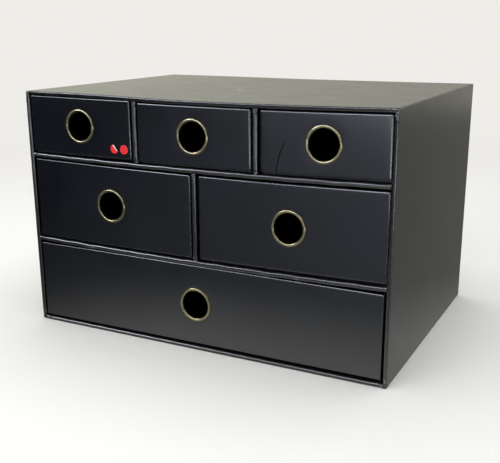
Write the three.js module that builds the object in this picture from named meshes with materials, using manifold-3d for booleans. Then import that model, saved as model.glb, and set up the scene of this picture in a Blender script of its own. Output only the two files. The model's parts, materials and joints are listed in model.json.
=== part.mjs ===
// Desktop chest of six drawers, made of greyboard wrapped in black paper.
// One row of three small drawers stands over a row of two and a full-width drawer.
// Each drawer is an open tray with a brass eyelet through its front as the finger pull.
//
// Millimetres, +Z up. The front faces -Y and the drawers pull out along -Y.
// The origin is on the base plane, under the middle of the case.
import * as THREE from 'three';
import { mergeVertices } from 'three/addons/utils/BufferGeometryUtils.js';
import Module from 'manifold-3d';

const wasm = await Module();
wasm.setup();

// ---------- Driving dimensions ----------

// Case
const caseWidth = 360;
const caseDepth = 258;
const outerBoard = 3.5;
const board = 4;
const backBoard = 3;
const bottomRowHeight = 79.4;
const middleRowHeight = 78.5;
const topRowHeight = 54.1;
const dividerShift = 0.8;
const outerCornerRadius = 1;
const frontEdgeRadius = 1.4;
const glueGap = 0.15;

// Drawers
const drawerDepth = 250;
const frontBoard = 3.5;
const frontLift = 1.5;
const trayBoard = 2;
const sideClearance = 1.7;
const floorClearance = 0.4;
const wallInset = 0.4;
const wallDrop = 0.6;
const frontCornerRadius = 2;
const frontRounding = 1.3;

// Eyelets
const holeRadius = 13.9;
const eyeletBore = 13;
const eyeletWall = 0.5;
const eyeletFlangeRadius = 15.85;
const eyeletBead = 1.1;
const rearFlangeRadius = 15.2;
const rearFlange = 0.45;
const washerRadius = 17.5;
const washerThickness = 0.4;
const seatGap = 0.1;

// Paper labels on the top left drawer
const labelRadius = 4.15;
const labelThickness = 0.25;
const labelHeight = 179.6;
const flatLabelX = -70.7;
const liftedLabelX = -81.1;
const foldDistance = 1.4;
const foldDirection = THREE.MathUtils.degToRad(39);
const curlStep = 0.42;
const curlTurn = THREE.MathUtils.degToRad(50);
const curlSteps = 3;

// Fineness of the round shapes
const roundSegments = 32;
const edgeSegments = 4;
const beadSegments = 6;

// ---------- Places worked out from them ----------

const frontY = -caseDepth / 2;
const backY = caseDepth / 2;
const innerWidth = caseWidth - 2 * outerBoard;
const innerBackY = backY - backBoard;
const lowerShelfZ = outerBoard + bottomRowHeight;
const upperShelfZ = lowerShelfZ + board + middleRowHeight;
const caseHeight = upperShelfZ + board + topRowHeight + outerBoard;

const rows = {
  bottom: { floor: outerBoard, height: bottomRowHeight, bays: 1 },
  middle: { floor: lowerShelfZ + board, height: middleRowHeight, bays: 2 },
  top: { floor: upperShelfZ + board, height: topRowHeight, bays: 3 },
};

// Each drawer stops short of the board above it (headroom). It sits a little to one side of
// its bay (shift) and behind the case's front plane (recess), with its finger hole close to
// the middle of its front, or a little above or below that (rise).
const drawers = [
  {
    name: 'drawer_top_left', row: rows.top, bay: 0,
    headroom: 0.6, shift: 0, recess: 1.2, rise: 0.3,
  },
  {
    name: 'drawer_top_middle', row: rows.top, bay: 1,
    headroom: 0.9, shift: 0, recess: 2, rise: -0.3,
  },
  {
    name: 'drawer_top_right', row: rows.top, bay: 2,
    headroom: 1.2, shift: 1.1, recess: 2, rise: 0.2,
  },
  {
    name: 'drawer_middle_left', row: rows.middle, bay: 0,
    headroom: 2, shift: 0.4, recess: 2, rise: 0.7,
  },
  {
    name: 'drawer_middle_right', row: rows.middle, bay: 1,
    headroom: 2, shift: 1.2, recess: 2, rise: 0.2,
  },
  {
    name: 'drawer_bottom', row: rows.bottom, bay: 0,
    headroom: 2.9, shift: -0.5, recess: 2, rise: 0.5,
  },
];
const labelledDrawer = drawers[0];

function bayWidth(row) {
  return (innerWidth - (row.bays - 1) * board) / row.bays;
}

function bayCentreX(row, bay) {
  return -innerWidth / 2 + bayWidth(row) / 2 + bay * (bayWidth(row) + board);
}

// ---------- Materials ----------

const casePaper = { color: 0x2b2d2c, roughness: 0.42, metalness: 0 };
const drawerPaper = { color: 0x23262c, roughness: 0.45, metalness: 0 };
const trayPaper = { color: 0x1c1d20, roughness: 0.7, metalness: 0 };
const agedBrass = { color: 0x9a8f63, roughness: 0.35, metalness: 0.9 };
const redLabel = { color: 0xe1303a, roughness: 0.6, metalness: 0 };

function piece(name, geometry, look) {
  const mesh = new THREE.Mesh(geometry, new THREE.MeshStandardMaterial(look));
  mesh.name = name;
  return mesh;
}

// ---------- Solids ----------

function solidOf(geometry) {
  const bare = geometry.clone();
  bare.deleteAttribute('normal');
  bare.deleteAttribute('uv');
  const merged = mergeVertices(bare, 1e-4);
  return new wasm.Manifold(new wasm.Mesh({
    numProp: 3,
    vertProperties: new Float32Array(merged.attributes.position.array),
    triVerts: new Uint32Array(merged.index.array),
  }));
}

function geometryOf(solid) {
  const mesh = solid.getMesh();
  const geometry = new THREE.BufferGeometry();
  geometry.setAttribute('position', new THREE.BufferAttribute(mesh.vertProperties, 3));
  geometry.setIndex(new THREE.BufferAttribute(mesh.triVerts, 1));
  geometry.computeVertexNormals();
  return geometry;
}

function box(xMin, xMax, yMin, yMax, zMin, zMax) {
  const geometry = new THREE.BoxGeometry(xMax - xMin, yMax - yMin, zMax - zMin);
  return geometry.translate((xMin + xMax) / 2, (yMin + yMax) / 2, (zMin + zMax) / 2);
}

function extrude(shape, depth) {
  return new THREE.ExtrudeGeometry(shape, {
    depth,
    bevelEnabled: false,
    curveSegments: edgeSegments,
  });
}

// Section of a board that runs back from its front edge: u is the depth, v the thickness.
// Both corners of the front edge are rounded, where the paper wraps round the board.
function boardSection(depth, thickness) {
  const r = frontEdgeRadius;
  const shape = new THREE.Shape();
  shape.moveTo(depth, -thickness / 2);
  shape.lineTo(depth, thickness / 2);
  shape.lineTo(r, thickness / 2);
  shape.absarc(r, thickness / 2 - r, r, Math.PI / 2, Math.PI, false);
  shape.absarc(r, -thickness / 2 + r, r, Math.PI, 1.5 * Math.PI, false);
  shape.closePath();
  return shape;
}

// Turns a section's u to +Y and v to +Z, with its length along +X.
const layAcross = new THREE.Matrix4().makeBasis(
  new THREE.Vector3(0, 1, 0),
  new THREE.Vector3(0, 0, 1),
  new THREE.Vector3(1, 0, 0),
);

function shelfGeometry(length, depth, thickness) {
  const geometry = extrude(boardSection(depth, thickness), length);
  return geometry.applyMatrix4(layAcross).translate(-length / 2, 0, thickness / 2);
}

function dividerGeometry(height, depth) {
  return extrude(boardSection(depth, board), height).rotateZ(Math.PI / 2);
}

// ---------- Case ----------

// Outline of a case board seen from the front: the outer face is at v = 0, and both ends
// are mitred at 45 degrees, so that the four boards close into a tube with rounded corners.
function mitredOutline(length) {
  const r = outerCornerRadius;
  const end = length / 2 - glueGap / 2;
  const shape = new THREE.Shape();
  shape.moveTo(-end + outerBoard, -outerBoard);
  shape.lineTo(end - outerBoard, -outerBoard);
  shape.absarc(end - r, -r, r, Math.PI / 4, Math.PI / 2, false);
  shape.absarc(-end + r, -r, r, Math.PI / 2, 0.75 * Math.PI, false);
  shape.closePath();
  return shape;
}

function caseBoardGeometry(length, distance) {
  const tube = extrude(mitredOutline(length), caseDepth);
  tube.rotateX(Math.PI / 2).translate(0, backY, distance);
  const wrapped = shelfGeometry(length + outerBoard, caseDepth, outerBoard);
  wrapped.translate(0, frontY, distance - outerBoard);
  return geometryOf(solidOf(tube).intersect(solidOf(wrapped)));
}

function buildCase() {
  const group = new THREE.Group();

  const shell = new THREE.Group();
  shell.position.z = caseHeight / 2;
  const shellBoards = [
    { name: 'case_top', length: caseWidth, distance: caseHeight / 2, turn: 0 },
    { name: 'case_right_side', length: caseHeight, distance: caseWidth / 2, turn: Math.PI / 2 },
    { name: 'case_bottom', length: caseWidth, distance: caseHeight / 2, turn: Math.PI },
    { name: 'case_left_side', length: caseHeight, distance: caseWidth / 2, turn: -Math.PI / 2 },
  ];
  for (const { name, length, distance, turn } of shellBoards) {
    const mesh = piece(name, caseBoardGeometry(length, distance), casePaper);
    mesh.rotation.y = turn;
    shell.add(mesh);
  }
  group.add(shell);

  const backHalfWidth = innerWidth / 2 - glueGap;
  const back = box(
    -backHalfWidth, backHalfWidth,
    innerBackY, backY,
    outerBoard + glueGap, caseHeight - outerBoard - glueGap,
  );
  group.add(piece('case_back', back, casePaper));

  const innerDepth = innerBackY - glueGap - frontY;
  const shelves = [
    { name: 'lower_shelf', z: lowerShelfZ },
    { name: 'upper_shelf', z: upperShelfZ },
  ];
  for (const { name, z } of shelves) {
    const shelf = piece(name, shelfGeometry(innerWidth - 2 * glueGap, innerDepth, board), casePaper);
    shelf.position.set(0, frontY, z);
    group.add(shelf);
  }

  const dividers = [
    { name: 'middle_divider', row: rows.middle, leftBay: 0 },
    { name: 'top_left_divider', row: rows.top, leftBay: 0 },
    { name: 'top_right_divider', row: rows.top, leftBay: 1 },
  ];
  for (const { name, row, leftBay } of dividers) {
    const divider = piece(name, dividerGeometry(row.height - 2 * glueGap, innerDepth), casePaper);
    const evenX = bayCentreX(row, leftBay) + (bayWidth(row) + board) / 2;
    divider.position.set(evenX + dividerShift, frontY, row.floor + glueGap);
    group.add(divider);
  }
  return group;
}

// ---------- Drawers ----------
// A drawer's own frame: x = 0 at its middle, y = 0 at its front face, z = 0 at its underside.

// Front board with rounded corners and a rounded front edge, bored for the eyelet. It ends
// a little above the underside of the tray, so only the tray rests on the board below.
function frontGeometry(width, height, holeZ) {
  const cornerX = width / 2 - frontCornerRadius;
  const topCornerZ = height - frontCornerRadius;
  const lowCornerZ = frontLift + frontCornerRadius;
  const outline = new THREE.Shape();
  outline.absarc(cornerX, lowCornerZ, frontCornerRadius, -Math.PI / 2, 0, false);
  outline.absarc(cornerX, topCornerZ, frontCornerRadius, 0, Math.PI / 2, false);
  outline.absarc(-cornerX, topCornerZ, frontCornerRadius, Math.PI / 2, Math.PI, false);
  outline.absarc(-cornerX, lowCornerZ, frontCornerRadius, Math.PI, 1.5 * Math.PI, false);
  outline.closePath();
  // The bevel rounds both faces of a thicker block, and the slab keeps the front of it.
  const block = new THREE.ExtrudeGeometry(outline, {
    depth: frontBoard,
    bevelThickness: frontRounding,
    bevelSize: frontRounding,
    bevelOffset: -frontRounding,
    bevelSegments: edgeSegments,
    curveSegments: edgeSegments,
  });
  block.rotateX(Math.PI / 2).translate(0, frontBoard + frontRounding, 0);
  const slab = box(-width, width, -frontBoard, frontBoard, -height, 2 * height);
  const hole = new THREE.CylinderGeometry(holeRadius, holeRadius, 4 * frontBoard, roundSegments);
  hole.translate(0, 0, holeZ);
  return geometryOf(solidOf(block).intersect(solidOf(slab)).subtract(solidOf(hole)));
}

// Rolled brass eyelet, turned about the Y axis: a bead on the face, a barrel through the
// board and a flange rolled over the washer behind it.
function eyeletGeometry() {
  const barrelRadius = eyeletBore + eyeletWall;
  const beadHalf = (eyeletFlangeRadius - eyeletBore) / 2;
  const rearY = frontBoard + washerThickness + 3 * seatGap;
  const profile = [
    new THREE.Vector2(barrelRadius, seatGap),
    new THREE.Vector2(barrelRadius, -rearY),
    new THREE.Vector2(rearFlangeRadius, -rearY),
    new THREE.Vector2(rearFlangeRadius, -rearY - rearFlange / 2),
    new THREE.Vector2(barrelRadius, -rearY - rearFlange),
    new THREE.Vector2(eyeletBore, -rearY),
  ];
  for (let i = 0; i <= beadSegments; i += 1) {
    const angle = Math.PI * (1 - i / beadSegments);
    profile.push(new THREE.Vector2(
      eyeletBore + beadHalf + beadHalf * Math.cos(angle),
      seatGap + (eyeletBead - seatGap) * Math.sin(angle),
    ));
  }
  profile.push(profile[0].clone());
  return new THREE.LatheGeometry(profile.reverse(), roundSegments).rotateX(Math.PI);
}

function washerGeometry() {
  const y = frontBoard + seatGap;
  const profile = [
    new THREE.Vector2(holeRadius, y),
    new THREE.Vector2(washerRadius, y),
    new THREE.Vector2(washerRadius, y + washerThickness),
    new THREE.Vector2(holeRadius, y + washerThickness),
    new THREE.Vector2(holeRadius, y),
  ];
  return new THREE.LatheGeometry(profile, roundSegments);
}

function buildDrawer({ name, row, bay, headroom, shift, recess, rise }) {
  const width = bayWidth(row) - 2 * sideClearance;
  const height = row.height - floorClearance - headroom;
  const holeZ = (frontLift + height) / 2 + rise;
  const outerX = width / 2 - wallInset;
  const wallFrontY = frontBoard + glueGap;
  const wallFloor = trayBoard + glueGap;
  const wallTop = height - wallDrop;

  const group = new THREE.Group();
  group.position.set(bayCentreX(row, bay) + shift, frontY + recess, row.floor + floorClearance);

  group.add(piece(`${name}_front`, frontGeometry(width, height, holeZ), drawerPaper));
  const base = box(-outerX, outerX, wallFrontY, drawerDepth, 0, trayBoard);
  group.add(piece(`${name}_base`, base, trayPaper));
  const left = box(-outerX, -outerX + trayBoard, wallFrontY, drawerDepth, wallFloor, wallTop);
  group.add(piece(`${name}_left_side`, left, trayPaper));
  const right = box(outerX - trayBoard, outerX, wallFrontY, drawerDepth, wallFloor, wallTop);
  group.add(piece(`${name}_right_side`, right, trayPaper));
  const backX = outerX - trayBoard - glueGap;
  const back = box(-backX, backX, drawerDepth - trayBoard, drawerDepth, wallFloor, wallTop);
  group.add(piece(`${name}_back`, back, trayPaper));

  const eyelet = piece(`${name}_eyelet`, eyeletGeometry(), agedBrass);
  eyelet.position.z = holeZ;
  group.add(eyelet);
  const washer = piece(`${name}_eyelet_washer`, washerGeometry(), agedBrass);
  washer.position.z = holeZ;
  group.add(washer);
  return group;
}

// ---------- Labels ----------

// A round label that stands with its back on the XZ plane and its face towards -Y.
function labelDisc() {
  const disc = new THREE.CylinderGeometry(labelRadius, labelRadius, labelThickness, roundSegments);
  return disc.translate(0, -labelThickness / 2, 0);
}

// The same label with one side peeled up and curled towards the viewer. The curl is a chain
// of strips, each turned further than the last about the line on its back where it starts.
function liftedLabelGeometry() {
  const disc = solidOf(labelDisc().rotateY(foldDirection));
  const strip = (from, to) => disc.intersect(solidOf(box(from, to, -1, 1, -9, 9)));
  let label = strip(-labelRadius - 1, foldDistance);
  let hingeX = foldDistance;
  let hingeY = 0;
  for (let i = 0; i < curlSteps; i += 1) {
    const turn = (i + 1) * curlTurn;
    const start = foldDistance + i * curlStep;
    const turned = geometryOf(strip(start, start + curlStep)).translate(-start, 0, 0);
    turned.rotateZ(-turn).translate(hingeX, hingeY, 0);
    label = label.add(solidOf(turned));
    hingeX += curlStep * Math.cos(turn);
    hingeY -= curlStep * Math.sin(turn);
  }
  return geometryOf(label).rotateY(-foldDirection);
}

function buildLabels() {
  const group = new THREE.Group();
  group.position.set(0, frontY + labelledDrawer.recess - seatGap, labelHeight);
  const flat = piece('red_label_flat', labelDisc(), redLabel);
  flat.position.x = flatLabelX;
  group.add(flat);
  const lifted = piece('red_label_lifted', liftedLabelGeometry(), redLabel);
  lifted.position.x = liftedLabelX;
  group.add(lifted);
  return group;
}

// ---------- Assembly ----------

const chest = new THREE.Group();
chest.add(buildCase());
for (const drawer of drawers) {
  chest.add(buildDrawer(drawer));
}
chest.add(buildLabels());

export default chest;
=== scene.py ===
"""Looks of a desktop chest of six drawers: one finished piece for each of its solids.

Greyboard wrapped in black paper, brass eyelets as finger pulls, and two red paper labels.
Each board is a ruled block whose points are then moved: mitred, rounded, lapped where the
paper overlaps, creased where it is tucked in, and lowered where shelves and top sag.
Everything is in metres. The front faces -Y and the drawers slide along it.
"""

import json
import math

import bmesh
import bpy
import numpy as np
from mathutils import Matrix, Vector

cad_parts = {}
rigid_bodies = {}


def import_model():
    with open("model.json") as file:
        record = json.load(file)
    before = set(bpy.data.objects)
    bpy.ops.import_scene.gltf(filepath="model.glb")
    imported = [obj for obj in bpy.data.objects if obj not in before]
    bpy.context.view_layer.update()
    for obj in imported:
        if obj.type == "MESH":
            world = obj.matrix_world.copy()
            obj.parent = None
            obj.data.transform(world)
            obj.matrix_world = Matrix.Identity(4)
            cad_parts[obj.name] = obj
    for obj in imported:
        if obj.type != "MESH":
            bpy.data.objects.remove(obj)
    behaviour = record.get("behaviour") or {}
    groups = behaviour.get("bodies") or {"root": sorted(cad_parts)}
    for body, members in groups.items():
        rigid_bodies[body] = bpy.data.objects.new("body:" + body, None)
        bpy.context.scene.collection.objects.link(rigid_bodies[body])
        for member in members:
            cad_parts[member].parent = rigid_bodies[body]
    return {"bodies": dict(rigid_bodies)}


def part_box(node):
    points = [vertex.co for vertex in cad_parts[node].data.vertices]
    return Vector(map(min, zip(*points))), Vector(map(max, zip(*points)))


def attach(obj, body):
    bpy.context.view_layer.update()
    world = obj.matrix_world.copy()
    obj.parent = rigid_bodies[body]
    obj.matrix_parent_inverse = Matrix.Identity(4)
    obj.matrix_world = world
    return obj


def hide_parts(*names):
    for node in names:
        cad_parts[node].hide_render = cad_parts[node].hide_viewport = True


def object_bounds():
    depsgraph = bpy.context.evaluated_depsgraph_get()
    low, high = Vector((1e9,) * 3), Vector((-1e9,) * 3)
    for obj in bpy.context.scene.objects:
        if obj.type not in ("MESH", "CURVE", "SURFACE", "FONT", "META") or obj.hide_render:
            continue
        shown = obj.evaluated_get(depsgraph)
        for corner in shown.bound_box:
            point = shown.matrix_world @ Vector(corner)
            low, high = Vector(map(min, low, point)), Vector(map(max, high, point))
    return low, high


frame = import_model()
cad_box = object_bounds()

MM = 0.001
FAR = 1.0
X, Y, Z = 0, 1, 2

# ---------- Places from the frame ----------


def corners_of(node):
    """Lowest and highest corner of a solid's box, as arrays."""
    low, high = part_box(node)
    return np.array(low), np.array(high)


CASE_LOW, CASE_HIGH = (np.array(corner) for corner in cad_box)
FRONT_Y, BACK_Y = CASE_LOW[Y], CASE_HIGH[Y]
OUTER_BOARD = CASE_HIGH[Z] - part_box("case_top")[0].z
DRAWERS = [body for body in frame["bodies"] if body != "case"]

# ---------- Sizes that the looks add ----------

# Rounding of edges and folds: radii along X, Y and Z, and the share of a drawer front's that
# is left where its folds are crispest.
OUTER_ROUNDING = np.array([0.8, 1.1, 1.1]) * MM
NOSE_ROUNDING = np.array([1.7, 1.7, 1.7]) * MM
FRONT_ROUNDING = np.array([2.0, 1.3, 2.0]) * MM
TRAY_ROUNDING = np.array([0.5, 0.5, 0.5]) * MM
CRISPEST_FOLD = 0.3

# Sag of shelves and top half way between the sides, the share of it that the top takes at
# the back, and the shares of the drawers that take less than a whole one.
SAG = 2.1 * MM
BACK_SHARE = 0.3
DRAWER_SHARES = {"drawer_bottom": 0.0, "drawer_top_left": 0.4}

# Cover paper on a board's front edge: where its overlap runs and wanders, as shares of the
# board's thickness, the step and the raised line of the overlap, creases where the paper is
# tucked in at both ends, shallow dents, and how much the edge wavers.
OVERLAP_AT, OVERLAP_WANDER = 0.42, 0.09
LAP = 0.14 * MM
RIDGE = 0.03 * MM
TUCK_REACH = 5 * MM
TUCK_DEPTH = 0.45 * MM
DENT_DEPTH = 0.26 * MM
NOSE_WAVER = 0.22 * MM

# How much lighter every front edge is made, in faint specks, and how much corners are rubbed, from
# 0 to 1.
NOSE_LIGHTENING = 0.05
CORNER_WEAR = 0.3

# Half of the most that each kind of face is hollowed or bowed, and the full depth of the dip
# round a hole.
SIDE_HOLLOW = 0.06 * MM
BACK_BOW = 0.15 * MM
FRONT_HOLLOW = 0.05 * MM
HOLE_DIP = 0.14 * MM

# Finger holes: the radius, and half the width of the square window cut for it and of the
# square round that whose points move with it. Then the eyelet, uneven by a share of its
# radius, and the washer behind it.
HOLE_RADIUS = 13.9 * MM
WINDOW_HALF = 11 * MM
RING_HALF = 21 * MM
EYELET_BORE = 13 * MM
EYELET_WALL = 0.5 * MM
EYELET_SEAT = 0.1 * MM
EYELET_LIP = 0.45 * MM
EYELET_UNEVENNESS = 0.0008
WASHER_BEVEL = 0.12 * MM

# Paper turned in over a tray's walls: how far down it reaches, and its thickness.
TURN_IN = 12 * MM
TURN_IN_THICKNESS = 0.15 * MM

LABEL_RADIUS = (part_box("red_label_flat")[1].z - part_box("red_label_flat")[0].z) / 2
LABEL_THICKNESS = 0.12 * MM

# ---------- Ruled blocks ----------


def rule(low, high, pitch, margin=0.0, step=0.4 * MM):
    """Coordinates from low to high: step apart within margin of both ends, else pitch."""
    count = max(1, math.ceil((high - low - 2 * margin) / pitch))
    middle = np.linspace(low + margin, high - margin, count + 1)
    if margin == 0:
        return middle
    fine = np.linspace(0, margin, max(1, round(margin / step)), endpoint=False)
    return np.concatenate([low + fine, middle, (high - fine)[::-1]])


def block(rules):
    """Points and outward quads of a closed box, ruled by one row of coordinates per axis."""
    numbers, points, quads = {}, [], []

    def number(place):
        if place not in numbers:
            numbers[place] = len(points)
            points.append([rules[axis][place[axis]] for axis in range(3)])
        return numbers[place]

    for axis in range(3):
        across, up = (axis + 1) % 3, (axis + 2) % 3
        for end in (0, len(rules[axis]) - 1):
            for i in range(len(rules[across]) - 1):
                for j in range(len(rules[up]) - 1):
                    quad = []
                    for di, dj in ((0, 0), (1, 0), (1, 1), (0, 1)):
                        place = [end, end, end]
                        place[across], place[up] = i + di, j + dj
                        quad.append(number(tuple(place)))
                    quads.append(quad if end else quad[::-1])
    return np.array(points), quads


def pierce(points, quads, centre, half_width):
    """Cuts a square window through a block along Y, and walls it."""
    shell = bmesh.new()
    corners = [shell.verts.new(point) for point in points]
    for quad in quads:
        shell.faces.new([corners[i] for i in quad])

    def in_window(face):
        offset = np.abs(np.array(face.calc_center_median()) - centre)
        return abs(face.normal.y) > 0.5 and max(offset[X], offset[Z]) < half_width

    shell.normal_update()
    window = [face for face in shell.faces if in_window(face)]
    bmesh.ops.delete(shell, geom=window, context="FACES")
    rims = [edge for edge in shell.edges if edge.is_boundary]
    bmesh.ops.bridge_loops(shell, edges=rims)
    bmesh.ops.recalc_face_normals(shell, faces=shell.faces)
    shell.verts.index_update()
    points = np.array([tuple(corner.co) for corner in shell.verts])
    quads = [[corner.index for corner in face.verts] for face in shell.faces]
    shell.free()
    return points, quads


def lathe(profile, centre, turns=96):
    """Points and quads of a closed profile of (radius, depth), turned about Y at centre."""
    angles = np.arange(turns) * math.tau / turns
    points, quads = [], []
    for angle in angles:
        for radius, depth in profile:
            points.append([radius * math.cos(angle), depth, radius * math.sin(angle)])
    size = len(profile)
    for turn in range(turns):
        here, there = turn * size, (turn + 1) % turns * size
        for i in range(size):
            j = (i + 1) % size
            quads.append([here + i, here + j, there + j, there + i])
    return np.array(points) + centre, quads


# ---------- Moves of the points ----------


def smooth_step(value):
    """Goes smoothly from 0 to 1 as value does, and holds still outside."""
    value = np.clip(value, 0, 1)
    return value * value * (3 - 2 * value)


def ripple(places, wavelength, seed):
    """A smooth wander between -1 and 1, over one number or one point per row."""
    waves, usual_crest = 6, 3.5
    dice = np.random.default_rng(seed)
    places = places.reshape(len(places), -1)
    total = np.zeros(len(places))
    for _ in range(waves):
        direction = dice.normal(size=places.shape[1])
        direction /= np.linalg.norm(direction)
        turns = places @ direction / (wavelength * dice.uniform(0.6, 1.8))
        total += np.sin(math.tau * (turns + dice.uniform()))
    return np.clip(total / usual_crest, -1, 1)


def soften(points, low, high, radii):
    """Rounds the edges and corners of the box from low to high.

    Points in a margin as wide as the radii move from a cube's face onto a ball's. radii is
    one radius per axis, or a row of them per point.
    """
    inner = np.clip(points, low + radii, high - radii)
    share = (points - inner) / radii
    second, third = share[:, [Y, Z, X]] ** 2, share[:, [Z, X, Y]] ** 2
    rounded = share * np.sqrt(1 - (second + third) / 2 + second * third / 3)
    return inner + rounded * radii


def top_share(points):
    """The share of the sag that the top takes: little at the back and over the left bay."""
    fade_width = 0.85 * CASE_HIGH[X]
    forward = np.clip((BACK_Y - points[:, Y]) / (BACK_Y - FRONT_Y), 0, 1)
    rightward = smooth_step(points[:, X] / fade_width + 1)
    return (BACK_SHARE + (1 - BACK_SHARE) * forward) * rightward


def settle(points, share):
    """Lowers points by a share of the sag, which is full half way between the sides."""
    across = np.clip(points[:, X] / CASE_HIGH[X], -1, 1)
    settled = points.copy()
    settled[:, Z] -= SAG * share * (1 - across**2)
    return settled


def edge_wear(points, low, high, reach):
    """1 on the edges of the box from low to high, falling to 0 at reach from them."""
    inwards = np.sort(np.minimum(points - low, high - points), axis=1)
    return np.clip(1 - inwards[:, 1] / reach, 0, 1)


def near_front(points, reach):
    """1 on the front plane, falling to 0 at reach behind it."""
    return 1 - smooth_step((points[:, Y] - FRONT_Y) / reach)


def front_space():
    """Both corners of a wide box that is closed only by the front plane."""
    return np.array([-FAR, FRONT_Y, -FAR]), np.array([FAR, FAR, FAR])


def dress_front_edge(points, through, along, half_length, seed):
    """Gives a board's front edge its paper: a wavering overlap, and tucks at both ends.

    through is the distance of each point from one face, along is its place lengthways.
    Returns the points, and how much each is lightened: faintly all along the edge, and most on the
    folds where the paper is tucked, which is rubbed paper and a painted glint.
    """
    dressed = points.copy()
    line = through.max() * (OVERLAP_AT + OVERLAP_WANDER * ripple(along, 24 * MM, seed))
    behind = smooth_step((through - line) / (0.3 * MM) + 0.5)
    ridge = np.exp(-(((through - line) / (0.4 * MM)) ** 2))
    step = LAP * behind + RIDGE * (1 - ridge)
    dent = DENT_DEPTH * (0.5 + 0.5 * ripple(along, 16 * MM, seed + 4))
    dressed[:, Y] += near_front(points, 2 * MM) * (step + dent)
    tuck = smooth_step((np.abs(along) - half_length + TUCK_REACH) / (3 * MM))
    crease = 0.5 + 0.5 * ripple(points, 3 * MM, seed + 1)
    dressed[:, Y] += near_front(points, 4 * MM) * tuck * crease * TUCK_DEPTH
    # The returned share lightens the paper: faint specks along the edge, and rubbed paper with
    # painted glints on the tucked folds.
    return dressed, near_front(points, 3 * MM) * np.maximum(tuck * (1 - crease), NOSE_LIGHTENING)


# ---------- Objects ----------


def mesh_object(name, points, quads, materials, sharp_degrees=40):
    """An object of smooth faces, with edges kept sharp that turn by more than sharp_degrees."""
    mesh = bpy.data.meshes.new(name)
    mesh.from_pydata(points.tolist(), [], quads)
    mesh.polygons.foreach_set("use_smooth", [True] * len(mesh.polygons))
    mesh.set_sharp_from_angle(angle=math.radians(sharp_degrees))
    for material in materials:
        mesh.materials.append(material)
    obj = bpy.data.objects.new(name, mesh)
    bpy.context.scene.collection.objects.link(obj)
    return obj


def piece(node, body, points, quads, materials, wear=None, sag=1.0, sharp_degrees=40):
    """A finished piece that rides on body, in place of the solid node that it is named by."""
    points = settle(points, sag)
    obj = mesh_object(node + "_look", points, quads, materials, sharp_degrees)
    if wear is not None:
        attribute = obj.data.attributes.new("wear", "FLOAT", "POINT")
        attribute.data.foreach_set("value", np.asarray(wear, np.float32))
    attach(obj, body)
    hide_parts(node)
    return obj


# ---------- Materials ----------


class Shader:
    """A material's nodes, with short calls that add them and join them up."""

    def __init__(self, name):
        self.material = bpy.data.materials.new(name)
        self.material.use_nodes = True
        self.tree = self.material.node_tree
        self.surface = self.tree.nodes["Principled BSDF"]
        self.place = self.node("TexCoord").outputs["Object"]

    def feed(self, socket, value):
        """Joins a socket to another node's output, or sets it to a value."""
        if isinstance(value, bpy.types.NodeSocket):
            self.tree.links.new(value, socket)
        else:
            socket.default_value = value

    def node(self, kind, inputs=None, **settings):
        """Adds a node. inputs go to its sockets, and settings to the node itself."""
        node = self.tree.nodes.new("ShaderNode" + kind)
        for name, value in settings.items():
            setattr(node, name, value)
        for name, value in (inputs or {}).items():
            self.feed(node.inputs[name], value)
        return node

    def finish(self, **values):
        """Sets the surface's sockets, which are named with _ for a space."""
        for name, value in values.items():
            self.feed(self.surface.inputs[name.replace("_", " ")], value)
        return self.material

    def noise(self, size, detail=2.0, stretch=(1, 1, 1)):
        """Noise between 0 and 1, with features of about size."""
        inputs = {"Vector": self.place, "Scale": stretch}
        place = self.node("Mapping", inputs).outputs[0]
        inputs = {"Vector": place, "Scale": 1 / size, "Detail": detail}
        return self.node("TexNoise", inputs).outputs[0]

    def span(self, value, low, high, to_low=0.0, to_high=1.0):
        """value between low and high, carried over to between to_low and to_high."""
        inputs = {0: value, 1: low, 2: high, 3: to_low, 4: to_high}
        return self.node("MapRange", inputs).outputs[0]

    def sum(self, one, other):
        """one and other added up."""
        return self.node("Math", {0: one, 1: other}, operation="ADD").outputs[0]

    def product(self, one, other):
        """one times other."""
        return self.node("Math", {0: one, 1: other}, operation="MULTIPLY").outputs[0]

    def blend(self, share, one, other):
        """Colour one, turning into the other as share goes from 0 to 1."""
        inputs = {0: share, 6: one, 7: other}
        return self.node("Mix", inputs, data_type="RGBA").outputs[2]

    def bump(self, height, distance, strength, under=None):
        """A normal that makes height show as relief, on top of the relief under."""
        inputs = {"Height": height, "Distance": distance, "Strength": strength}
        if under:
            inputs["Normal"] = under
        return self.node("Bump", inputs).outputs[0]

    def wear(self):
        """How much the surface is rubbed, with painted glints on tucked paper folds and a painted
        highlight along brass crests, which each piece holds at its points.
        """
        return self.node("Attribute", attribute_name="wear").outputs["Fac"]

    def vector(self, operation, one, other):
        """The outputs of a vector operation on one and other."""
        return self.node("VectorMath", {0: one, 1: other}, operation=operation).outputs

    def scratch(self, start, end, width):
        """1 on the straight line from start to end, 0 further than width from it."""
        along = Vector(end) - Vector(start)
        offset = self.vector("SUBTRACT", self.place, start)["Vector"]
        share = self.vector("DOT_PRODUCT", offset, along / along.length_squared)["Value"]
        share = self.node("Clamp", {0: share}).outputs[0]
        foot = self.node("VectorMath", {0: along, "Scale": share}, operation="SCALE").outputs[0]
        distance = self.vector("DISTANCE", offset, foot)["Value"]
        return self.span(distance, width / 2, width, 1, 0)


PALE_MARK = (0.6, 0.6, 0.57, 1)
DARK_MARK = (0.001, 0.001, 0.001, 1)

# How far paper's roughness wanders, and how much more of it rubbed and scuffed places have.
GLOSS_SPREAD = 0.015
RUBBED_ROUGHER = 0.2

OLIVE_BRASS = (0.125, 0.106, 0.053, 1)
BROWN_BRASS = (0.075, 0.062, 0.031, 1)
# The bright brass on the crest is rubbed brass and a painted highlight.
RUBBED_AND_HIGHLIT_BRASS = (0.27, 0.245, 0.16, 1)


def shades(colour, *factors):
    """The colour scaled by each factor, with full alpha."""
    return [tuple(channel * factor for channel in colour) + (1,) for factor in factors]


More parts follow.
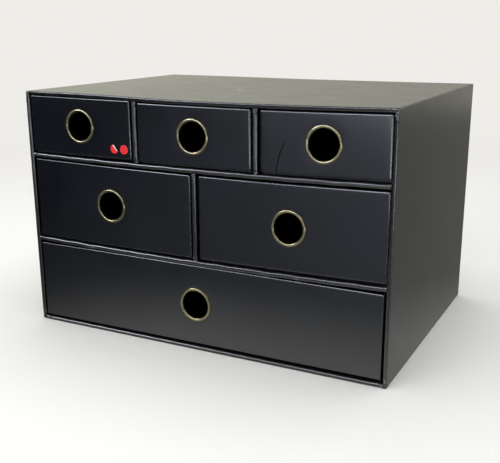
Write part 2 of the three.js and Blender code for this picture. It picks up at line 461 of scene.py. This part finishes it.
def paper(name, colour, worn_and_glint_shade, roughness, marks=()):
    """Smooth wrapping paper: faint mottling, fine grain, rubbed edges with painted glints on
    tucked folds, and light scuffs.

    A mark is a straight scratch: its start, end, width, colour and strength. A dark one
    mirrors nothing, which black metal stands for.
    """
    shader = Shader(name)
    dark, light = shades(colour, 0.85, 1.2)
    mottling = shader.span(shader.noise(45 * MM, 4), 0.35, 0.65)
    shade = shader.blend(mottling, dark, light)
    fibres = shader.span(shader.noise(0.9 * MM, 3, (1, 1, 0.3)), 0.68, 0.85, 0, 0.06)
    shade = shader.blend(fibres, shade, worn_and_glint_shade)
    # Rubbed places, and the painted glints on tucked folds, take the worn colour.
    rubbed_and_glinting = shader.product(shader.wear(), shader.span(shader.noise(2 * MM, 5), 0.5, 0.62))
    shade = shader.blend(rubbed_and_glinting, shade, worn_and_glint_shade)
    scuffed = shader.span(shader.noise(12 * MM, 5, (1, 1, 7)), 0.62, 0.8, 0, 0.1)
    cloudy = shader.noise(28 * MM, 3)
    gloss = shader.span(cloudy, 0.3, 0.7, roughness - GLOSS_SPREAD, roughness + GLOSS_SPREAD)
    gloss = shader.sum(gloss, shader.product(shader.sum(rubbed_and_glinting, scuffed), RUBBED_ROUGHER))
    normal = shader.bump(shader.noise(0.35 * MM, 2), 0.004 * MM, 0.5)
    normal = shader.bump(shader.noise(9 * MM, 3), 0.02 * MM, 0.2, normal)
    lost_gloss = 0.0
    for start, end, width, ink, strength in marks:
        line = shader.product(shader.scratch(start, end, width), strength)
        shade = shader.blend(line, shade, ink)
        normal = shader.bump(line, -0.01 * MM, 0.5, normal)
        if ink == DARK_MARK:
            lost_gloss = shader.sum(lost_gloss, line)
    shader.finish(Base_Color=shade, Roughness=gloss, Metallic=lost_gloss)
    return shader.finish(Normal=normal, IOR=1.5)


def aged_brass(name):
    """Brass gone olive brown, brighter along its crest: rubbed by fingers, and a painted
    highlight.
    """
    shader = Shader(name)
    patina = shader.span(shader.noise(6 * MM, 3), 0.35, 0.68)
    shade = shader.blend(patina, OLIVE_BRASS, BROWN_BRASS)
    # The crest turns bright brass: rubbed metal, and a painted highlight line.
    rubbed_and_glinting = shader.product(shader.wear(), shader.span(shader.noise(10 * MM, 2), 0.3, 0.6, 0.7, 1))
    shade = shader.blend(rubbed_and_glinting, shade, RUBBED_AND_HIGHLIT_BRASS)
    gloss = shader.span(patina, 0, 1, 0.24, 0.34)
    normal = shader.bump(shader.noise(0.6 * MM, 3), 0.01 * MM, 0.3)
    return shader.finish(Base_Color=shade, Roughness=gloss, Metallic=1.0, Normal=normal)


def label_paper(name, colour, roughness):
    """Matt label paper with a soft mottling and a fine tooth."""
    shader = Shader(name)
    spread = 0.07
    dark, light = shades(colour, 0.88, 1.1)
    mottling = shader.span(shader.noise(1.6 * MM, 4), 0.35, 0.7)
    shade = shader.blend(mottling, dark, light)
    gloss = shader.span(shader.noise(1 * MM), 0.3, 0.7, roughness - spread, roughness + spread)
    normal = shader.bump(shader.noise(0.2 * MM), 0.01 * MM, 0.6)
    shader.finish(Base_Color=shade, Roughness=gloss, Normal=normal)
    return shader.finish(Specular_IOR_Level=0.2)


# A pale spot on the top, two faint ones on the right side, and a bent scratch on a front.
top_z = CASE_HIGH[Z] - 1.4 * MM
right_x = CASE_HIGH[X]
face_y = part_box("drawer_bottom_front")[0].y
case_marks = [
    ((-0.0125, -0.018, top_z), (-0.0105, -0.018, top_z), 1.6 * MM, PALE_MARK, 0.9),
    ((right_x, 0.006, 0.2085), (right_x, 0.012, 0.2105), 0.6 * MM, PALE_MARK, 0.12),
    ((right_x, 0.03, 0.2075), (right_x, 0.041, 0.2105), 0.5 * MM, PALE_MARK, 0.1),
]
scratch_bend = (0.0815, face_y, 0.184)
front_marks = [
    ((0.0865, face_y, 0.196), scratch_bend, 0.6 * MM, DARK_MARK, 0.8),
    (scratch_bend, (0.079, face_y, 0.171), 0.6 * MM, DARK_MARK, 0.8),
]
case_paper = paper(
    "case_paper", (0.0033, 0.0034, 0.0036), (0.14, 0.137, 0.13, 1), 0.24, case_marks
)
front_paper = paper(
    "drawer_front_paper", (0.0042, 0.0052, 0.0078), (0.03, 0.03, 0.032, 1), 0.17, front_marks
)
tray_paper = paper("tray_paper", (0.009, 0.0095, 0.0105), (0.09, 0.09, 0.09, 1), 0.5)
brass = aged_brass("aged_brass")
red_paper = label_paper("red_label_paper", (0.72, 0.008, 0.014), 0.5)
label_back = label_paper("label_back_paper", (0.86, 0.79, 0.68), 0.6)

# ---------- Case ----------


def ruled_board(low, high, thin_axis):
    """A board's block, with the distance of each point through it and its place along it."""
    long_axis = X + Z - thin_axis
    rules = [None, rule(low[Y], high[Y], 9 * MM, 2 * MM), None]
    rules[thin_axis] = rule(low[thin_axis], high[thin_axis], 0.3 * MM)
    rules[long_axis] = rule(low[long_axis], high[long_axis], 4 * MM, TUCK_REACH, 0.6 * MM)
    points, quads = block(rules)
    through = points[:, thin_axis] - low[thin_axis]
    along = points[:, long_axis] - (low[long_axis] + high[long_axis]) / 2
    return points, quads, through, along


def case_board(name, thin_axis, side, seed):
    """One of the four outer boards, mitred at both ends. side is -1 or 1 along thin_axis."""
    long_axis = X + Z - thin_axis
    low, high = CASE_LOW.copy(), CASE_HIGH.copy()
    nose_low, nose_high = front_space()
    if side > 0:
        low[thin_axis] = nose_low[thin_axis] = high[thin_axis] - OUTER_BOARD
    else:
        high[thin_axis] = nose_high[thin_axis] = low[thin_axis] + OUTER_BOARD
    points, quads, through, along = ruled_board(low, high, thin_axis)
    if side > 0:
        through = OUTER_BOARD - through
    half = (high[long_axis] - low[long_axis]) / 2
    points[:, long_axis] -= along * through / half
    wear = CORNER_WEAR * edge_wear(points, CASE_LOW, CASE_HIGH, 0.9 * MM)

    points = soften(points, CASE_LOW, CASE_HIGH, OUTER_ROUNDING)
    points = soften(points, nose_low, nose_high, NOSE_ROUNDING)
    points, rubbed_and_glinting = dress_front_edge(points, through, along, half - OUTER_BOARD, seed)
    hollow = SIDE_HOLLOW * (1 + ripple(points, 110 * MM, seed + 2))
    clear_of_edges = 1 - edge_wear(points, CASE_LOW, CASE_HIGH, 25 * MM)
    points[:, thin_axis] -= side * hollow * clear_of_edges * (through < OUTER_BOARD / 2)
    wear = np.maximum(wear, rubbed_and_glinting)
    sag = top_share(points) if name == "case_top" else 0.0
    piece(name, "case", points, quads, [case_paper], wear, sag)


def inner_board(name, thin_axis, seed, under_top=False):
    """A shelf or a divider, whose front edge wavers a little, as wrapped board does.

    under_top is for a divider that stands between a shelf and the top, which sag unequally.
    """
    low, high = corners_of(name)
    long_axis = X + Z - thin_axis
    points, quads, through, along = ruled_board(low, high, thin_axis)
    nose_low, nose_high = front_space()
    nose_low[thin_axis], nose_high[thin_axis] = low[thin_axis], high[thin_axis]
    half = (high[long_axis] - low[long_axis]) / 2
    points = soften(points, nose_low, nose_high, NOSE_ROUNDING)
    points, wear = dress_front_edge(points, through, along, half, seed)
    waver = NOSE_WAVER * ripple(along, 26 * MM, seed + 3)
    points[:, thin_axis] += waver * near_front(points, 9 * MM)
    sag = np.ones(len(points))
    if under_top:
        upward = (points[:, Z] - low[Z]) / (high[Z] - low[Z])
        sag += (top_share(points) - 1) * upward
    piece(name, "case", points, quads, [case_paper], wear, sag)


def back_board(name):
    """The back board, with a sheet of cover paper that ends just short of its edges."""
    low, high = corners_of(name)
    sheet_edge, sheet_thickness = 3.2 * MM, 0.2 * MM
    rules = [
        rule(low[X], high[X], 9 * MM, 5 * MM),
        rule(low[Y], high[Y], 1 * MM),
        rule(low[Z], high[Z], 9 * MM, 5 * MM),
    ]
    points, quads = block(rules)
    wear = edge_wear(points, low, high, 0.8 * MM)
    inwards = np.minimum(points - low, high - points)
    margin = np.minimum(inwards[:, X], inwards[:, Z]) + 0.3 * MM * ripple(points, 30 * MM, 71)
    bare = 1 - smooth_step((margin - sheet_edge) / (0.4 * MM) + 0.5)
    behind = points[:, Y] > high[Y] - 0.1 * MM
    bowed = BACK_BOW * (1 + ripple(points, 120 * MM, 72)) * (1 - bare)
    points = soften(points, low, high, TRAY_ROUNDING)
    points[:, Y] -= behind * (sheet_thickness * bare + bowed)
    sag = top_share(points) * points[:, Z] / CASE_HIGH[Z]
    piece(name, "case", points, quads, [case_paper], wear, sag)


case_board("case_top", Z, side=1, seed=10)
case_board("case_bottom", Z, side=-1, seed=20)
case_board("case_left_side", X, side=-1, seed=30)
case_board("case_right_side", X, side=1, seed=40)
back_board("case_back")
inner_board("upper_shelf", Z, seed=50)
inner_board("lower_shelf", Z, seed=60)
inner_board("top_left_divider", X, seed=80, under_top=True)
inner_board("top_right_divider", X, seed=90, under_top=True)
inner_board("middle_divider", X, seed=100)

# ---------- Drawers ----------


def rule_round_hole(low, high, centre):
    """Coordinates from low to high that frame a hole's square window and the ring round it."""
    pitch, margin = 5 * MM, 2 * MM
    ring_lines, window_lines = 5, 13
    before = rule(low, centre - RING_HALF, pitch, margin)
    after = rule(centre + RING_HALF, high, pitch, margin)
    left = np.linspace(centre - RING_HALF, centre - WINDOW_HALF, ring_lines)[1:]
    across = np.linspace(centre - WINDOW_HALF, centre + WINDOW_HALF, window_lines)[1:]
    right = np.linspace(centre + WINDOW_HALF, centre + RING_HALF, ring_lines)[1:-1]
    return np.concatenate([before, left, across, right, after])


def carried(drawer):
    """The share of the sag that a drawer takes from the shelf it stands on."""
    return DRAWER_SHARES.get(drawer, 1.0)


def fold_radii(points):
    """The rounding of a drawer front at each point: its folds are crisper to the left."""
    from_left, full_at = points[:, [X]] / CASE_HIGH[X] + 1, 1.5
    rightward = smooth_step(from_left / full_at)
    return FRONT_ROUNDING * (CRISPEST_FOLD + (1 - CRISPEST_FOLD) * rightward)


def drawer_front(drawer, seed):
    """The wrapped front board: soft edges, a round hole, and paper drawn down to it."""
    name = drawer + "_front"
    low, high = corners_of(name)
    ring_low, ring_high = corners_of(drawer + "_eyelet")
    centre = (ring_low + ring_high) / 2
    rules = [
        rule_round_hole(low[X], high[X], centre[X]),
        rule(low[Y], high[Y], 0.4 * MM),
        rule_round_hole(low[Z], high[Z], centre[Z]),
    ]
    points, quads = pierce(*block(rules), centre, WINDOW_HALF)
    wear = edge_wear(points, low, high, 0.9 * MM)

    tiny = 1e-9
    offset = points[:, [X, Z]] - centre[[X, Z]]
    square = np.max(np.abs(offset), axis=1)
    distance = np.maximum(np.linalg.norm(offset, axis=1), tiny)
    share = np.clip((square - WINDOW_HALF) / (RING_HALF - WINDOW_HALF), 0, 1)[:, None]
    on_circle = offset * (HOLE_RADIUS / distance)[:, None]
    on_square = offset * (RING_HALF / np.maximum(square, tiny))[:, None]
    opened = on_circle + (on_square - on_circle) * share
    in_ring = (square < RING_HALF - 0.001 * MM)[:, None]
    points[:, [X, Z]] = centre[[X, Z]] + np.where(in_ring, opened, offset)

    points = soften(points, low, high, fold_radii(points))
    facing = 1 - smooth_step((points[:, Y] - low[Y]) / (1.5 * MM))
    radius = np.linalg.norm(points[:, [X, Z]] - centre[[X, Z]], axis=1)
    dip = HOLE_DIP * np.exp(-((radius - HOLE_RADIUS) / (4 * MM)) ** 2)
    hollow = FRONT_HOLLOW * (1 + ripple(points, 70 * MM, seed))
    points[:, Y] += facing * (dip + hollow)
    slot, sag = "drawer_front_paper_board", carried(drawer)
    piece(name, drawer, points, quads, [front_paper], wear, sag)


def tray_panel(drawer, part, seed):
    """A tray's floor or wall, with the outer paper turned in over the top of a wall."""
    name = drawer + part
    low, high = corners_of(name)
    size = high - low
    thin_axis = int(np.argmin(size))
    rules = [rule(low[axis], high[axis], 8 * MM, 1 * MM) for axis in range(3)]
    rules[thin_axis] = rule(low[thin_axis], high[thin_axis], 0.5 * MM)
    is_wall = thin_axis != Z
    fold = high[Z] - TURN_IN
    if is_wall:
        rules[Z] = np.concatenate([
            rule(low[Z], fold - 2 * MM, 8 * MM, 1 * MM),
            rule(fold - 2 * MM, fold + 2 * MM, 0.5 * MM)[1:-1],
            rule(fold + 2 * MM, high[Z], 4 * MM, 1 * MM),
        ])
    points, quads = block(rules)
    wear = edge_wear(points, low, high, 0.7 * MM)
    middle = (low + high) / 2
    drawer_middle = sum(corners_of(drawer + "_base")) / 2
    inward = np.sign(drawer_middle - middle)[thin_axis] if is_wall else 1
    inner_face = (points[:, thin_axis] - middle[thin_axis]) * inward > size[thin_axis] * 0.45
    points = soften(points, low, high, TRAY_ROUNDING)
    if is_wall:
        line = fold + 0.7 * MM * ripple(points[:, [X, Y]], 45 * MM, seed)
        bare = 1 - smooth_step((points[:, Z] - line) / (0.8 * MM) + 0.5)
        points[:, thin_axis] -= inward * inner_face * bare * TURN_IN_THICKNESS
    slot, sag = "tray_paper_board", carried(drawer)
    piece(name, drawer, points, quads, [tray_paper], wear, sag)


def brass_piece(name, drawer, points, quads, wear):
    """A lathed piece of brass on a drawer."""
    sag = carried(drawer)
    piece(name, drawer, points, quads, [brass], wear, sag, sharp_degrees=50)


def eyelet(drawer, seed):
    """A rolled brass eyelet: a bead on the face, a barrel, and a lip rolled out behind."""
    name = drawer + "_eyelet"
    low, high = corners_of(name)
    face_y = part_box(drawer + "_front")[0].y
    centre = np.array([(low[X] + high[X]) / 2, face_y, (low[Z] + high[Z]) / 2])
    flange, bead, rear = (high[X] - low[X]) / 2, face_y - low[Y], high[Y] - face_y
    barrel, lip, sunk = EYELET_BORE + EYELET_WALL, EYELET_LIP, 0.04 * MM
    profile = []
    half = (flange - EYELET_BORE) / 2
    for angle in np.linspace(0, math.pi, 15):
        rise = math.sin(angle) * bead
        profile.append((EYELET_BORE + half - half * math.cos(angle), sunk - rise))
    profile += [(flange - 0.3 * MM, EYELET_SEAT), (barrel, EYELET_SEAT), (barrel, rear - 2 * lip)]
    for angle in np.linspace(0, math.pi, 9):
        reach = barrel + 0.4 * MM + 0.6 * MM * math.sin(angle)
        profile.append((reach, rear - lip - lip * math.cos(angle)))
    profile += [(EYELET_BORE + 0.25 * MM, rear - 0.1 * MM), (EYELET_BORE, rear - 0.6 * MM)]
    points, quads = lathe(profile[::-1], centre)
    # The crest's share is the brass's wear: rubbed, and a painted highlight line along the bead.
    crest_sharpness = 6
    crest = np.clip((face_y - points[:, Y]) / bead, 0, 1) ** crest_sharpness
    outward = points[:, [X, Z]] - centre[[X, Z]]
    points[:, [X, Z]] += outward * EYELET_UNEVENNESS * ripple(points, 14 * MM, seed)[:, None]
    brass_piece(name, drawer, points, quads, crest)


def washer(drawer, seed):
    """The flat ring behind the front board that the eyelet is rolled over."""
    name = drawer + "_eyelet_washer"
    low, high = corners_of(name)
    centre = np.array([(low[X] + high[X]) / 2, low[Y], (low[Z] + high[Z]) / 2])
    inner, outer = HOLE_RADIUS, (high[X] - low[X]) / 2
    thickness, bevel = high[Y] - low[Y], WASHER_BEVEL
    profile = [
        (inner, bevel), (inner + bevel, 0), (outer - bevel, 0), (outer, bevel),
        (outer, thickness - bevel), (outer - bevel, thickness),
        (outer - 1.2 * MM, thickness), (inner + bevel, thickness - 0.04 * MM),
        (inner, thickness - bevel),
    ]
    points, quads = lathe(profile, centre)
    wear = 0.5 + 0.4 * ripple(points, 9 * MM, seed)
    brass_piece(name, drawer, points, quads, wear)


for number, drawer in enumerate(DRAWERS):
    drawer_front(drawer, 200 + number)
    for part in ("_base", "_left_side", "_right_side", "_back"):
        tray_panel(drawer, part, 300 + number)
    eyelet(drawer, 400 + number)
    washer(drawer, 500 + number)

# ---------- Labels ----------

# Where the lifted label's fold lies from its middle, and how the paper curls past it.
FOLD_DIRECTION = math.radians(39)
FOLD_DISTANCE = 1.4 * MM
CURL_RADIUS = 0.45 * MM
CURL_TIGHTENING = 0.03
CURL_STEPS = 200
LABEL_WAVE = 0.05 * MM


def label_sheet(radius, rings=14, turns=48):
    """A round sheet's flat points (across, up) and its faces, in rings round a middle."""
    points = [(0.0, 0.0)]
    faces = []
    for ring in range(1, rings + 1):
        reach = radius * ring / rings
        for turn in range(turns):
            angle = turn * math.tau / turns
            points.append((reach * math.cos(angle), reach * math.sin(angle)))
    for turn in range(turns):
        after = (turn + 1) % turns
        faces.append([0, 1 + turn, 1 + after])
        for ring in range(rings - 1):
            near, far = 1 + ring * turns, 1 + (ring + 1) * turns
            faces.append([near + turn, far + turn, far + after, near + after])
    return np.array(points), faces


def curl(distance):
    """Where a sheet point goes that lies this far past the fold: (onwards, outwards)."""
    lifted = np.maximum(distance, 0)
    travel = np.outer(lifted, np.linspace(0, 1, CURL_STEPS))
    turned = travel / CURL_RADIUS * (1 + CURL_TIGHTENING * travel / CURL_RADIUS)
    onwards = lifted * np.cos(turned).mean(axis=1)
    outwards = lifted * np.sin(turned).mean(axis=1)
    return onwards + np.minimum(distance, 0), outwards


def label(node, lifted, seed):
    """A round label. A lifted one is peeled off to one side of its fold, and curls forward."""
    low, high = corners_of(node)
    flat, faces = label_sheet(LABEL_RADIUS)
    middle = np.array([low[X] + LABEL_RADIUS, high[Y], low[Z] + LABEL_RADIUS])
    toward = np.array([math.cos(FOLD_DIRECTION), math.sin(FOLD_DIRECTION)])
    side = np.array([-toward[1], toward[0]])
    rimward = np.linalg.norm(flat, axis=1) / LABEL_RADIUS
    rise = LABEL_WAVE * (1 + ripple(flat, 5 * MM, seed)) * rimward
    if lifted:
        past = flat @ toward - FOLD_DISTANCE
        onwards, outwards = curl(past)
        flat = np.outer(flat @ side, side) + np.outer(onwards + FOLD_DISTANCE, toward)
        rise = rise * (past < 0) + outwards
    points = np.column_stack([flat[:, 0], -rise, flat[:, 1]]) + middle
    drawer, papers = "drawer_top_left", [red_paper, label_back]
    obj = piece(node, drawer, points, faces, papers, sag=carried(drawer))
    thicken = obj.modifiers.new("thickness", "SOLIDIFY")
    thicken.thickness = LABEL_THICKNESS
    thicken.offset = -1
    thicken.material_offset = 1
    thicken.material_offset_rim = 1


label("red_label_flat", lifted=False, seed=600)
label("red_label_lifted", lifted=True, seed=610)

# ---------- Stage ----------

BLACK = (0, 0, 0, 1)
TABLE_COLOUR = (0.76, 0.75, 0.72, 1)
WALL_COLOUR = (0.86, 0.845, 0.81, 1)
ROOM_COLOUR = (0.95, 0.97, 1.0, 1)
ROOM_STRENGTH = 0.49
DAYLIGHT = (0.92, 0.96, 1.12)

# Half widths of the floor and its cards, and how far out the floor fades into the wall.
FLOOR_HALF = 8.0
CARD_HALF = 6.0
FADE_START, FADE_END = 0.45, 1.4


def rectangle(name, corners, material):
    """A stage object with one face between four corners."""
    obj = mesh_object(name, np.array(corners), [[0, 1, 2, 3]], [material])
    return obj


def level_corners(low, high, z):
    """The corners of a level rectangle at height z, from its low (x, y) to its high one."""
    return [(low[X], low[Y], z), (high[X], low[Y], z), (high[X], high[Y], z), (low[X], high[Y], z)]


def floor_material():
    """The table's colour round the chest, fading into the glow of the wall further out."""
    shader = Shader("floor_sweep")
    distance = shader.vector("LENGTH", shader.place, (0, 0, 0))["Value"]
    glow = shader.span(distance, FADE_START, FADE_END)
    ground = shader.blend(glow, TABLE_COLOUR, BLACK)
    shader.finish(Base_Color=ground, Roughness=0.9, Specular_IOR_Level=0.0)
    return shader.finish(Emission_Color=WALL_COLOUR, Emission_Strength=glow)


def softbox(name, place, target, width, height, power, tint=(1, 1, 1)):
    """A rectangular light at place, turned to face target."""
    light = bpy.data.lights.new(name, "AREA")
    light.shape = "RECTANGLE"
    light.size, light.size_y = width, height
    light.energy = power
    light.color = tint
    obj = bpy.data.objects.new(name, light)
    obj.location = place
    obj.rotation_euler = (Vector(target) - Vector(place)).to_track_quat("-Z", "Y").to_euler()
    obj.visible_camera = False
    bpy.context.scene.collection.objects.link(obj)
    return obj


def gloss_card(name, corners, light_of):
    """A glowing card that is seen by nothing but the gloss of the object.

    The cards stand for a room that is darker than the table, as the paper mirrors it.
    light_of gives the card's colour and strength.
    """
    shader = Shader(name)
    tint, glow = light_of(shader)
    shader.finish(Base_Color=BLACK, Roughness=1.0, Specular_IOR_Level=0.0)
    shader.finish(Emission_Color=tint, Emission_Strength=glow)
    card = rectangle(name, corners, shader.material)
    card.visible_camera = card.visible_diffuse = card.visible_shadow = False


def low_card(name, low, high, light_of):
    """A level gloss card just over the floor."""
    gloss_card(name, level_corners(low, high, 1 * MM), light_of)


def front_light(shader):
    """Dark to the front left, pale to the front right, and pale and warm close to the case.

    Further out to the right lies a narrow bright band.
    """
    outward = shader.vector("DOT_PRODUCT", shader.place, (0.854, -0.52, 0))["Value"]
    rightward = shader.vector("DOT_PRODUCT", shader.place, (1, 0, 0))["Value"]
    depth = shader.vector("DOT_PRODUCT", shader.place, (0, 1, 0))["Value"]
    slope = shader.span(outward, -0.2, 0.36, 0, 0.57)
    band_start = shader.span(outward, 0.8, 0.95, 0, 14)
    band_end = shader.span(outward, 1.05, 1.3, 1, 0.05)
    far = shader.sum(slope, shader.product(band_start, band_end))
    beside_case = shader.span(depth, -0.3, -0.15)
    close = shader.product(beside_case, shader.span(rightward, -0.25, -0.05, 0.1, 1.05))
    cool, warm = (0.91, 0.97, 1.08, 1), (1, 0.995, 0.94, 1)
    tint = shader.blend(shader.span(depth, -0.5, -0.2), cool, warm)
    return tint, shader.sum(far, close)


def rear_light(shader):
    """Dim, and paler close to the right side of the case."""
    away = shader.vector("DOT_PRODUCT", shader.place, (1, 0.5, 0))["Value"]
    return (1.02, 1, 0.97, 1), shader.span(away, 0.18, 0.3, 0.44, 0.24)


def wall_light(shader):
    """A wall behind the case, paler to the left."""
    rightward = shader.vector("DOT_PRODUCT", shader.place, (1, 0, 0))["Value"]
    return (1, 0.985, 0.84, 1), shader.span(rightward, -1.7, -0.2, 0.86, 0.6)


floor_corners = level_corners((-FLOOR_HALF, -FLOOR_HALF), (FLOOR_HALF, FLOOR_HALF), 0)
rectangle("floor", floor_corners, floor_material())
low_card("front_card", (-CARD_HALF, -CARD_HALF), (CARD_HALF, FRONT_Y), front_light)
low_card("rear_card", (-CARD_HALF, FRONT_Y), (CARD_HALF, CARD_HALF), rear_light)
wall_corners = [(-4, 2, 0), (3, 2, 0), (3, 2, 1.6), (-4, 2, 1.6)]
gloss_card("wall_card", wall_corners, wall_light)

world = bpy.data.worlds.new("studio")
bpy.context.scene.world = world
world.use_nodes = True
studio = world.node_tree
room = studio.nodes["Background"]
room.inputs["Color"].default_value = ROOM_COLOUR
room.inputs["Strength"].default_value = ROOM_STRENGTH
wall = studio.nodes.new("ShaderNodeBackground")
wall.inputs["Color"].default_value = WALL_COLOUR
seen = studio.nodes.new("ShaderNodeLightPath")
either = studio.nodes.new("ShaderNodeMixShader")
studio.links.new(seen.outputs["Is Camera Ray"], either.inputs[0])
studio.links.new(room.outputs[0], either.inputs[1])
studio.links.new(wall.outputs[0], either.inputs[2])
studio.links.new(either.outputs[0], studio.nodes["World Output"].inputs["Surface"])

# The fills light only the matt part of every surface, and the highlights only its gloss.
fills = [
    softbox("overhead", (0, 0.1, 1.9), (0, 0, 0), 2.4, 2.0, 36),
    softbox("front_fill", (-0.5, -2.0, 1.2), (0, 0, 0.1), 2.0, 1.5, 24),
]
for fill in fills:
    fill.visible_glossy = False
highlights = [
    softbox("window", (-0.6, -2.2, 1.4), (0, 0, 0.15), 3.2, 0.8, 48, DAYLIGHT),
    softbox("left_window", (-1.58, -1.65, 1.45), (0, 0, 0.15), 0.8, 0.8, 42, DAYLIGHT),
    softbox("right_window", (-0.53, -2.26, 1.45), (0, 0, 0.15), 0.62, 0.8, 16, DAYLIGHT),
    softbox("right_lamp", (1.5, -1.3, 1.5), (0, 0, 0.15), 0.6, 0.6, 14),
]
for highlight in highlights:
    highlight.visible_diffuse = False

# ---------- Camera ----------

CAMERA_PLACE = Vector((0.3466, -0.6953, 0.2887))
HEADING, PITCH, ROLL = (math.radians(angle) for angle in (-27.157, -15.949, -0.233))
FOCAL_LENGTH_MM, SENSOR_MM, SHIFT_UP = 56.34, 36.0, 0.027
NEAREST, FURTHEST = 0.01, 50

forward = Vector((
    math.sin(HEADING) * math.cos(PITCH), math.cos(HEADING) * math.cos(PITCH), math.sin(PITCH)
))
level = Vector((math.cos(HEADING), -math.sin(HEADING), 0))
upward = level.cross(forward)
right = level * math.cos(ROLL) + upward * math.sin(ROLL)
up = upward * math.cos(ROLL) - level * math.sin(ROLL)
camera = bpy.data.objects.new("camera", bpy.data.cameras.new("camera"))
camera.data.lens, camera.data.sensor_width = FOCAL_LENGTH_MM, SENSOR_MM
camera.data.shift_y = SHIFT_UP
camera.data.clip_start, camera.data.clip_end = NEAREST, FURTHEST
axes = Matrix((right, up, -forward)).transposed()
camera.matrix_world = Matrix.Translation(CAMERA_PLACE) @ axes.to_4x4()
bpy.context.scene.collection.objects.link(camera)
bpy.context.scene.camera = camera
bpy.context.scene.view_settings.view_transform = "Standard"
